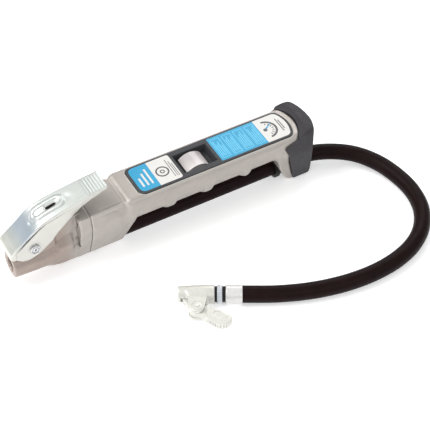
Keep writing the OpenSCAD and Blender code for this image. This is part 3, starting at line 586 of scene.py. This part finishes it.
def lever_field(x, y, z):
    w, ay = lever_half(x), np.abs(y)
    top = poly(LEVER_TOP + [(-56, 0), (-145.4, 0)], x, z)
    # pressed stadium with a dished middle, and grip ridges near the free end
    lx = np.maximum(np.abs(x + 107.5) - 8.5, 0)
    ring = np.hypot(lx, y) - 7.6
    raised = 1.5 * (1 - step(ring, -2.2, 0.6)) - 1.1 * (1 - step(ring, -5.2, -3.2))
    ends = -0.7 * np.exp(-((x + 122.5) ** 2 + (y + 2.6) ** 2) / 7)
    ends = ends - 0.4 * np.exp(-((x + 90) ** 2 + y ** 2) / 14)
    grip = 0.12 * np.sin((x + 56) * 2 * math.pi / 2.5) * step(x, -75, -72) * (1 - step(ay, w - 2, w - 1))
    face = top - raised - ends - grip
    outer = smax(face, ay - w, 1.4)
    inner = smax(face + SHEET, ay - w + SHEET, 1.2)
    above = poly(LIP_LOW + [(-56, 99), (-160, 99), (-160, 30), (-146.5, 30)], x, z)
    cover = np.maximum(np.maximum(outer, -inner), above)
    # the side sheets, with a groove under the plate's lip
    cheek = np.maximum(slab(ay, w - 3.2 + step(above, 2, 3.5), w - 1.3), top + 0.8)
    cheek = np.maximum(cheek, -np.maximum(slab(above, -0.4, 1.1), w - 2.5 - ay))
    low = poly(CHEEK_LOW + [(-160, 39.5), (-160, 99), (-56, 99)], x, z)
    cheek = smax(cheek, low, 0.4)
    cheek = np.maximum(cheek, -np.maximum(poly(CREVICE, x, z), w - 2.0 - ay))
    nose = np.maximum(np.maximum(outer, -inner), np.maximum(x + 142.5, 37.0 - z))
    d = smin(smin(cover, cheek, 0.15), nose, 0.3)
    d = smax(d, x + 57, 0.8)
    slot_x = np.maximum(np.abs(x + 104) - 3, 0)
    d = smax(d, -np.maximum(np.hypot(slot_x, y) - 1.3 - 1.6 * np.clip(1 + face / 1.2, 0, 1), 55 - z), 0.5)
    return np.maximum(d, -(np.hypot(x - PIVOT_X, z - PIVOT_Z) - 2.65))


def under_lip(x, y, z):
    """The hollow between the plate's lip and the side sheets, which takes the painted shadow."""
    return np.maximum(poly(CREVICE, x, z) - 0.3, np.abs(y) - lever_half(x) + 1.6)


# the lever's faces that look along Y get the painted side light, and the faces under the plate's lip the
# painted shadow
settle(solid("lever_pressing", lever_field, (-149, -13, 29), (-55, 13, 81), 0.4, M["zinc"], M["cheek"],
             M["hollow"], under_lip),
       "lever", "zinc_plate", "trigger_lever")


def lathe(profile, n=48, wave=None):
    """Closed profile of (along, radius) turned about local X. wave(angle, radius) changes the radius."""
    verts, faces = [], []
    for a, r in profile:
        for k in range(n):
            q = 2 * math.pi * k / n
            rr = wave(q, a, r) if wave else r
            verts.append((a, rr * math.cos(q), rr * math.sin(q)))
    m = len(profile)
    for i in range(m):
        for k in range(n):
            a, b = i * n, ((i + 1) % m) * n
            k2 = (k + 1) % n
            faces.append([a + k, a + k2, b + k2, b + k])
    return np.array(verts), faces


def turned(name, profile, mat, place=Matrix.Identity(4), n=48, wave=None):
    verts, faces = lathe(profile, n, wave)
    verts = np.array([place @ Vector(v) for v in verts])
    o = mesh_object(name, verts, faces, [mat])
    mend(o)
    return o


def mend(o):
    """Welds the points that meet on an axis and turns every face outwards."""
    b = bmesh.new()
    b.from_mesh(o.data)
    bmesh.ops.remove_doubles(b, verts=b.verts, dist=1e-6)
    bmesh.ops.recalc_face_normals(b, faces=b.faces)
    b.to_mesh(o.data)
    b.free()


def rounded(points, r=0.25):
    """A closed profile with its corners cut by a small round."""
    out = []
    n = len(points)
    for i in range(n):
        p, a, c = (Vector(points[j % n]) for j in (i, i - 1, i + 1))
        if p[1] < 1e-6:
            out.append(tuple(p))
            continue
        ta, tc = (a - p), (c - p)
        s = min(r, ta.length / 2.2, tc.length / 2.2)
        q0, q1 = p + ta.normalized() * s, p + tc.normalized() * s
        for t in (0, 0.33, 0.67, 1):
            out.append(tuple((1 - t) ** 2 * q0 + 2 * t * (1 - t) * p + t * t * q1))
    return out


def make_rivet():
    """Two domed heads on a pin through the lever's side sheets."""
    half = 13.3
    head = [(0, 0), (0, 2.5), (half - 2, 2.5), (half - 2, 4.6), (half - 0.4, 4.6), (half, 4.2), (half, 3.8),
            (half - 1, 3.5), (half - 1, 2.7), (half - 0.2, 2.3), (half, 1.4), (half - 0.3, 0.95),
            (half - 1.6, 0.8), (half - 1.6, 0)]
    parts = []
    for s in (-1, 1):
        spin = Matrix.Translation((PIVOT_X, 0, PIVOT_Z)) @ Matrix.Rotation(s * math.pi / 2, 4, "Z")
        parts.append((lathe(rounded(head, 0.3), 40), spin))
    verts, faces = [], []
    for (v, f), spin in parts:
        off = len(verts)
        verts += [tuple(spin @ Vector(p)) for p in v]
        faces += [[i + off for i in q] for q in f]
    o = mesh_object("pivot_rivet", verts, faces, [M["steel"]])
    mend(o)
    return settle(o, "inflator", "steel", "lever_rivet")


make_rivet()


def make_flange_screws():
    """Socket screws at the bottom of the collar's pockets."""
    head = rounded([(0, 0), (0, 1.5), (6, 1.5), (6, 1.85), (8.4, 1.85), (8.4, 0.95), (7.2, 0.95), (7.2, 0)],
                   0.15)
    verts, faces = [], []
    for side in (-1, 1):
        for py, pz, _ in SCREW_POCKETS:
            off = len(verts)
            v, f = lathe(head, 24)
            verts += [(SEAM - x + 1, y + side * py, z + pz) for x, y, z in v]
            faces += [[i + off for i in q] for q in f]
    o = mesh_object("flange_screws", verts, faces, [M["dark_steel"]])
    mend(o)
    settle(o, "inflator", "steel", "valve_body_screws")


make_flange_screws()


# ---------------------------------------------------------------- end cap
CAP = hull(pair(18.7, 59.3, 4) + pair(9.5, 4, 4) + [(0, 44, 22.7)])
CAP_PLAN = hull([(131.5, 0, 12), (129.3, 15.2, 7.5), (129.3, -15.2, 7.5), (96, 21.7, 1), (96, -21.7, 1)])
CAP_BACK = chaikin([(90, -6), (133, -6), (137, 0), (141, 2.5), (143.8, 14), (144.6, 35), (144.6, 50),
                    (142, 58.5), (137, 62.8), (128, 64.5), (90, 66)], 3)
CAP_FRONT = [(124.6, -10), (121.8, 0), (118.2, 11.5), (114.7, 25), (110.2, 41), (105.8, 50.3), (107.2, 53),
             (119, 57.6), (120, 60.5), (129, 64), (131, 70), (180, 70), (180, -10)]


def cap_field(x, y, z):
    d = smax(poly(CAP, y, z), poly(CAP_BACK, x, z), 3.0)
    d = smax(d, poly(CAP_PLAN, x, y), 3.0)
    d = smax(d, poly(CAP_FRONT, x, z), 0.9)
    d = smax(d, -barrel(x, y, z, 0.15, 58.5), 0.5)
    flare = 8.4 + 1.6 * np.clip((x - 124) / 24, 0, 1)
    d = smax(d, -(np.hypot(y, z - HOSE_Z) - flare), 0.8)
    for s in (-1, 1):
        d = smax(d, -np.maximum(np.hypot(y - s * 10.5, z - 22) - 3.9, 136 - x), 0.6)
    return d


settle(solid("tail_bumper", cap_field, (105, -23, 0), (145, 23, 64), 0.5, M["rubber"]),
       "inflator", "cap_rubber", "end_cap")


# ---------------------------------------------------------------- strip, labels, lens, scale
def strip_field(x, y, z):
    d = smax(strip_outline(x, y), slab(z, 58.05, TOP), 0.9)
    tray = np.maximum(np.maximum(slab(x, 12, 46), np.abs(y) - 12), slab(z, 50.4, 58.5))
    d = np.minimum(d, tray)
    slope = 14.6 - 1.6 * np.clip((z - 52) / 8.5, 0, 1)
    well = np.maximum(np.maximum(slab(x, slope, 58 - slope), np.abs(y) - 10.4 - 0.1 * (z - 52)), 52 - z)
    d = smax(d, -well, 0.7)
    return np.maximum(d, -np.maximum(slab(x, LENS[0], LENS[1]), np.abs(y) - 9))


settle(solid("gauge_strip", strip_field, (-31, -17, 50.4), (121, 17, TOP), 0.45, M["plastic"]),
       "inflator", "black_plastic", "bezel_strip")


def fan(outline, z0, z1):
    """Flat plate from a plan outline."""
    n = len(outline)
    verts = [(x, y, z0) for x, y in outline] + [(x, y, z1) for x, y in outline]
    faces = [list(range(n))[::-1], [n + i for i in range(n)]]
    faces += [[i, (i + 1) % n, n + (i + 1) % n, n + i] for i in range(n)]
    return verts, faces


def round_rect(x0, x1, y0, y1, r, n=6):
    out = []
    for cx, cy, a in ((x1 - r, y1 - r, 0), (x0 + r, y1 - r, 1), (x0 + r, y0 + r, 2), (x1 - r, y0 + r, 3)):
        out += [(cx + r * math.cos(math.pi / 2 * (a + k / n)), cy + r * math.sin(math.pi / 2 * (a + k / n)))
                for k in range(n + 1)]
    return out


def arc_band(cx, cy, r0, r1, a0, a1, n=20):
    q = [math.radians(a0 + (a1 - a0) * k / n) for k in range(n + 1)]
    return ([(cx + r1 * math.cos(t), cy + r1 * math.sin(t)) for t in q]
            + [(cx + r0 * math.cos(t), cy + r0 * math.sin(t)) for t in reversed(q)])


def printed(name, shapes, mats, replaced):
    """One thin plate per (outline, material number, height above the strip)."""
    verts, faces, index = [], [], []
    for outline, mat, up in shapes:
        off = len(verts)
        v, f = fan(outline, TOP - 0.2, TOP + up)
        verts += v
        faces += [[i + off for i in q] for q in f]
        index += [mat] * len(f)
    o = mesh_object(name, verts, faces, mats, smooth=False, index=index)
    return settle(o, "inflator", "label_print", replaced)


def corner(px, py, ax, ay, bx, by, n=5):
    """Points rounding the corner p between a and b."""
    weights = [((1 - t) ** 2, 2 * t * (1 - t), t * t) for t in (k / n for k in range(n + 1))]
    return [(i * ax + j * px + k * bx, i * ay + j * py + k * by) for i, j, k in weights]


def label_outline(x0, x1, w, front, rear, bow=0.0):
    """Outline of a label with its own front and rear corners and, if bowed, an arched rear edge."""
    def edge(y):
        return x1 - bow * (y / w) ** 2

    out = corner(x0, w, x0 + front, w, x0, w - front) + corner(x0, -w, x0, front - w, x0 + front, -w)
    out += corner(edge(w), -w, edge(w) - rear, -w, edge(w - rear), rear - w)
    if bow:
        out += [(edge(y), y) for y in (rear - w + 2 * (w - rear) * k / 14 for k in range(1, 14))]
    return out + corner(edge(w), w, edge(w - rear), w - rear, edge(w) - rear, w)


def make_labels():
    mats = [M["white"], M["blue"], M["pale"], M["ink"]]
    w = 14.7
    front = [(label_outline(-28.4, 10.2, w, 5.5, 2.2), 0, 0.05),
             (label_outline(-28.4, -10.8, w, 5.5, 0.02), 1, 0.07)]
    for i, (a, b) in enumerate(((-9.5, -3.4), (-9.5, 0.8), (-9.5, 4.4))):
        x = -24.6 + 4.2 * i
        front.append((round_rect(x, x + 1.7, a, b + 4.5, 0.4, 2), 0, 0.09))
    # a plain wheel for the front label
    front += [(arc_band(-2.6, -1.0, 4.6, 6.0, 0, 180), 3, 0.07),
              (arc_band(-2.6, -1.0, 4.6, 6.0, 180, 360), 3, 0.07),
              (arc_band(-2.6, -1.0, 1.2, 2.2, 0, 180, 10), 3, 0.07),
              (arc_band(-2.6, -1.0, 1.2, 2.2, 180, 360, 10), 3, 0.07)]
    for k, x in enumerate((4.6, 6.6, 8.2)):
        front.append((round_rect(x, x + 0.6, -11.5, 10.5 - 3 * k, 0.2, 2), 3, 0.06))
    printed("front_label", front, mats, "label_front")
    rear = [(label_outline(47.6, 118.5, w, 1.2, 3.0, 3.9), 0, 0.05),
            (label_outline(47.6, 93, w, 1.2, 0.02), 1, 0.07)]
    for i, x in enumerate((49.4, 60.6, 71.8, 83.0)):
        rear.append((round_rect(x, x + 8.6, -12.2, 12.2, 0.9, 3), 2, 0.075))
        rear.append((round_rect(x + 0.5, x + 8.1, -11.7, 11.7, 0.7, 3), 1, 0.085))
        for k in range(4):
            at, end = x + 1.4 + 1.75 * k, 9.6 - (k * 5 + i * 3) % 8
            rear.append((round_rect(at, x + 2.1 + 1.75 * k, -10.4, end, 0.2, 2), 2, 0.10))
    # a plain dial with tick marks for the rear label
    rear.append((arc_band(98.5, 0, 8.6, 10.6, -88, 88, 24), 3, 0.07))
    for a in (-66, -44, -22, 0, 22, 44, 66):
        t = math.radians(a)
        c, s = math.cos(t), math.sin(t)
        rear.append(([(98.5 + r * c - q * s * 0.45, r * s + q * c * 0.45)
                      for r, q in ((5.8, -1), (7.8, -1), (7.8, 1), (5.8, 1))], 3, 0.07))
    rear.append(([(98.0, -0.9), (105.6, 4.6), (105.0, 5.2), (97.2, 0.9)], 1, 0.08))
    rear.append((arc_band(98.2, 0, 0.2, 1.9, 0, 350, 20), 3, 0.09))
    for k, (a, b) in enumerate(((-8.5, 8.5), (-6, 6))):
        rear.append((round_rect(111.6 + 1.9 * k, 112.5 + 1.9 * k, a, b, 0.3, 2), 3, 0.06))
    printed("rear_label", rear, mats, "label_rear")


make_labels()


def lens_field(x, y, z):
    half = 10.0
    r = (half * half + 16) / 8
    arch = np.hypot(x - 27.5, z - (60.5 - r)) - r
    d = smax(arch, np.abs(y) - 8.9, 0.8)
    d = smax(d, 55.4 - z, 0.2)
    base = np.maximum(np.maximum(slab(x, 17.6, 37.4), np.abs(y) - 8.9), slab(z, 51.1, 56.5))
    return np.minimum(d, base)


# the lens's faces that look along Y take the painted shade of its ends
settle(solid("magnifier", lens_field, (17.5, -9, 51), (37.5, 9, TOP), 0.3, M["lens"], M["lens_end_shade"]),
       "inflator", "lens_clear", "lens")


def make_scale():
    """White sleeve with rings and figures for the pressure, which slides with the gauge; its white glows
    faintly as painted light.
    """
    profile = rounded([(-40, 7.6), (-40, 9), (40, 9), (40, 2.6), (37.5, 2.6), (37.5, 7.6)], 0.4)
    verts, faces = lathe(profile, 64)
    verts = [(a, y, z + GAUGE_Z) for a, y, z in verts]
    index = [0] * len(faces)

    def wrap(outline, up=0.04):
        """An outline of (x, arc) laid on the sleeve, arc measured from its top line."""
        off = len(verts)
        for r in (8.9, 9 + up):
            for a, s in outline:
                q = s / 9
                verts.append((a, -r * math.sin(q), GAUGE_Z + r * math.cos(q)))
        n = len(outline)
        faces.append([off + n + i for i in range(n)])
        index.append(1)
        for i in range(n):
            faces.append([off + i, off + (i + 1) % n, off + n + (i + 1) % n, off + n + i])
            index.append(1)

    def box(a0, a1, s0, s1):
        cuts = max(1, int(abs(s1 - s0) / 1.2))
        for k in range(cuts):
            u, v = s0 + (s1 - s0) * k / cuts, s0 + (s1 - s0) * (k + 1) / cuts
            wrap([(a0, u), (a1, u), (a1, v), (a0, v)])

    strokes = {"0": "abcdef", "1": "bc", "2": "abged", "3": "abgcd", "4": "fgbc", "5": "afgcd", "6": "afgedc",
               "7": "abc", "8": "abcdefg", "9": "abcdfg"}

    def figure(text, at, side):
        w, h, t = 1.6, 2.8, 0.42
        for i, ch in enumerate(text):
            s = side + i * 2.3
            bars = {"a": (h - t, h, 0, w), "d": (0, t, 0, w), "g": (h / 2 - t / 2, h / 2 + t / 2, 0, w),
                    "b": (h / 2, h, w - t, w), "c": (0, h / 2, w - t, w), "e": (0, h / 2, 0, t),
                    "f": (h / 2, h, 0, t)}
            for q in strokes[ch]:
                a0, a1, s0, s1 = bars[q]
                box(at - h / 2 + a0, at - h / 2 + a1, s + s0, s + s1)

    for i in range(29):
        a = -34 + 2.5 * i
        major = i % 4 == 0
        box(a - 0.32, a + 0.32, -1.2 - (3.2 if major else 0), 1.2 + (3.2 if major else 0.6))
        if major:
            figure(str(i // 4 * 2), a, 4.9)
            figure(str(i // 4 * 30), a, -9.6)
    o = mesh_object("scale_sleeve", verts, faces, [M["scale"], M["ink"]], smooth=True, index=index)
    mend(o)
    return settle(o, "gauge_slide", "scale_white", "scale_barrel")


make_scale()


# ---------------------------------------------------------------- connector
AT_CON = Matrix.Translation(CON_AT) @ Matrix.Rotation(CON_TURN, 4, "Z")


def con(name, profile, mat, slot, *replaced, n=56, wave=None, r=0.25):
    o = turned(name, rounded(profile, r), mat, AT_CON, n, wave)
    return settle(o, "inflator", slot, *replaced)


def ring_profile(a0, a1, bore, outer, grooves, depth):
    """Outer face with evenly spaced grooves."""
    pts = [(a0, bore), (a0, outer)]
    pitch = (a1 - a0) / (grooves + 0.6)
    for k in range(grooves):
        a = a0 + pitch * (k + 0.55)
        pts += [(a, outer), (a + pitch * 0.2, outer - depth), (a + pitch * 0.5, outer - depth),
                (a + pitch * 0.7, outer)]
    return pts + [(a1, outer), (a1, bore)]


con("ferrule_sleeve",
    [(0, 7.3), (0, 7.6), (0.4, 7.85), (3.4, 7.85), (3.8, 7.79), (4.6, 7.79), (5.0, 7.85), (8.4, 7.85),
     (8.8, 7.79), (9.6, 7.79), (10.0, 7.85), (13.3, 7.85), (13.7, 7.5), (13.7, 7.3)],
    M["ferrule"], "bright_ferrule", "connector_ferrule", n=72)
con("grooved_rings", ring_profile(13.7, 16.5, 4.5, 6.9, 2, 0.5), M["seal"], "seal_rubber",
    "connector_rings", n=64)
con("grooved_ring_front", ring_profile(20.8, 22.8, 4.5, 6.9, 1, 0.5), M["seal"], "seal_rubber", n=64)


def fluted(q, a, r):
    if r < 7.6:
        return r
    return r - 0.32 * max(0.0, math.cos(30 * q)) ** 2


con("fluted_collar", [(16.5, 4.5), (16.5, 7.2), (16.9, 7.8), (20.4, 7.8), (20.8, 7.2), (20.8, 4.5)],
    M["collar"], "zinc_plate", "connector_collar", n=240, wave=fluted, r=0.15)


def connector_shape(u, v, z):
    zz = z - CON_Z
    r = np.hypot(v, zz)
    taper = 8.0 - 1.3 * np.clip((u - 29.8) / 22.2, 0, 1)
    d = smax(r - taper, slab(u, 22.8, 53), 0.9)
    # ears for the thumb lever
    ear = poly(hull([(PIN_U, PIN_V, 6.5), (40.3, 19.4, 3.6), (30, 2, 2), (43, 2, 2)]), u, v)
    ears = smax(ear, np.abs(zz) - 5.8 + 0.25 * np.exp(-((np.hypot(u - 37, v - 17.2) - 4.4) / 0.5) ** 2), 0.9)
    d = smin(d, ears, 2.2)
    d = smax(d, -np.maximum(np.hypot(u - PIN_U, v - PIN_V) - 9.5, np.abs(zz) - 3.3), 0.3)
    d = smax(d, -np.maximum(np.maximum(slab(u, 43.5, 50.5), slab(v, 3, 15)), np.abs(zz) - 2.4), 0.4)
    # mouth with a chamfer, washer seat and the way to the hose
    mouth = r - 4.1 - 0.9 * np.clip((u - 52) / 1.0, 0, 1)
    d = np.maximum(d, -np.maximum(mouth, 35 - u))
    d = np.maximum(d, -np.maximum(r - 2.5, slab(u, 30, 36)))
    d = np.maximum(d, -np.maximum(r - 4.5, slab(u, 20, 31)))
    return np.maximum(d, -(np.hypot(u - PIN_U, v - PIN_V) - 1.55))


THUMB_PAD = chaikin([(29.3, 19.6), (24.7, 19.4), (21.1, 19.7), (16.6, 20.3), (12.1, 22.8), (8.6, 26.3),
                     (7.9, 28.6), (8.6, 31.4), (12.2, 35.9), (16.7, 36.9), (21.1, 35.7), (24.7, 33.1),
                     (28.2, 30.8), (31, 28.5)])


def thumb_shape(u, v, z):
    zz = z - CON_Z
    hub = smax(np.hypot(u - PIN_U, v - PIN_V) - 6.3, np.abs(zz) - 2.9, 0.5)
    arm = smax(poly([(35, 10.5), (36, 22.5), (20, 28), (20, 20)], u, v), np.abs(zz) - 2.9, 0.8)
    jaw = smax(poly([(38, 10.4), (43.4, 17), (46.5, 11), (45, 8.4)], u, v), np.abs(zz) - 2.9, 0.6)
    tip = smax(poly([(44.4, 4.6), (49.4, 4.6), (48, 10), (44.5, 11.5)], u, v), np.abs(zz) - 2, 0.5)
    rim = poly(THUMB_PAD, u, v)
    turn = np.arctan2(v - 28, 0.62 * (u - 19))
    teeth = 0.32 * np.cos(34 * turn) * step(v - (41.5 - u * 0.62), -1.5, 1.5)
    pad = smax(rim + 0.25 + teeth, slab(zz, -0.5, 5), 0.9)
    # shallow oval dish in the pad's upper face
    du, dv = u - 18, v - 25.6
    dish = np.hypot((0.9 * du - 0.43 * dv) / 1.8, 0.43 * du + 0.9 * dv) - 3.3
    pad = smax(pad, -smax(dish, 4.65 - zz, 0.3), 0.3)
    d = smin(smin(smin(hub, arm, 0.8), smin(jaw, tip, 0.6), 0.6), pad, 0.8)
    return np.maximum(d, -(np.hypot(u - PIN_U, v - PIN_V) - 1.6))


def con_solid(name, shape, lo, hi, h, mat):
    """A solid meshed in the connector's own frame and set in place."""
    verts, faces = net(shape, lo, hi, h)
    verts = verts - (0, 0, CON_Z)
    turn = np.array(AT_CON.to_3x3())
    verts = verts @ turn.T + np.array(CON_AT)
    return mesh_object(name, verts, faces, [mat])


settle(con_solid("connector_casting", connector_shape, (22.5, -8.2, 0), (53, 23.5, 16), 0.3, M["die_cast"]),
       "inflator", "die_cast", "connector_body")
settle(con_solid("thumb_casting", thumb_shape, (7, 4, 4.5), (50, 38, 13.5), 0.3, M["die_cast"]),
       "thumb", "die_cast", "thumb_lever")


# ---------------------------------------------------------------- CAD nodes that stay, and their finishes
KEPT = {
    "gasket": ["body_gasket"],
    "die_cast": ["thumb_pin"],
    "seal": ["gallery_plug", "inflate_seal", "deflate_seal", "piston_seal", "lens_gasket",
             "hose_grommet", "valve_washer"],
    "steel": ["inflate_plunger", "inflate_spring", "deflate_plunger", "deflate_spring",
              "gauge_spring", "end_cap_screws", "hose_ferrule", "connector_tail", "thumb_spring"],
    "brass": ["inlet_filter", "plunger_guides", "gauge_cylinder", "gauge_piston", "gauge_end_plug",
              "hose_tail", "valve_probe"],
}
for key, names in KEPT.items():
    for name in names:
        slots = nodes[name].data.materials
        slots.clear()
        slots.append(M[key])


# ---------------------------------------------------------------- floor and light
def make_floor():
    n, size = 24, 3.0
    line = [-size + 2 * size * i / n for i in range(n + 1)]
    verts = [(x, y, 0) for x in line for y in line]
    faces = [[i * (n + 1) + j, (i + 1) * (n + 1) + j, (i + 1) * (n + 1) + j + 1, i * (n + 1) + j + 1]
             for i in range(n) for j in range(n)]
    me = bpy.data.meshes.new("floor")
    me.from_pydata(verts, [], faces)
    me.materials.append(material("floor_paper", (0.90, 0.90, 0.90), 0.8, mottle=0.006, scale=6, bump=0.02,
                                 bump_scale=300, spec=0.1, glow=0.36))
    o = bpy.data.objects.new("floor", me)
    scene.collection.objects.link(o)


def area_light(name, at, aim, size, power, colour=(1, 1, 1)):
    data = bpy.data.lights.new(name, "AREA")
    data.shape = "RECTANGLE"
    data.size, data.size_y = size
    data.energy = power
    data.color = colour
    o = bpy.data.objects.new(name, data)
    o.location = at
    o.rotation_euler = (Vector(aim) - Vector(at)).to_track_quat("-Z", "Y").to_euler()
    scene.collection.objects.link(o)


make_floor()
area_light("key", (-0.9, 0.5, 1.5), (0, 0, 0), (1.2, 0.9), 21)
area_light("fill", (0.2, -1.4, 1.1), (0, 0, 0), (1.6, 0.7), 6)
area_light("front", (-1.3, -0.55, 0.5), (-0.1, 0, 0.03), (0.7, 0.5), 4)
area_light("rim", (0.9, 0.9, 0.9), (0, 0, 0), (0.8, 0.8), 6)


def make_world():
    """A soft room: white overhead, cooler and darker towards the horizon."""
    world = bpy.data.worlds.new("studio")
    scene.world = world
    world.use_nodes = True
    n, link = world.node_tree.nodes, world.node_tree.links.new
    split = n.new("ShaderNodeSeparateXYZ")
    link(n.new("ShaderNodeTexCoord").outputs["Generated"], split.inputs["Vector"])
    rise = n.new("ShaderNodeMapRange")
    rise.inputs["From Min"].default_value = 0.0
    rise.inputs["From Max"].default_value = 0.75
    link(split.outputs["Z"], rise.inputs["Value"])
    shade = n.new("ShaderNodeMix")
    shade.data_type = "RGBA"
    link(rise.outputs["Result"], shade.inputs["Factor"])
    shade.inputs["A"].default_value = (0.36, 0.40, 0.47, 1)
    shade.inputs["B"].default_value = (1.0, 1.0, 0.99, 1)
    link(shade.outputs["Result"], n["Background"].inputs["Color"])
    n["Background"].inputs["Strength"].default_value = 0.72


make_world()
scene.view_settings.view_transform = "Standard"
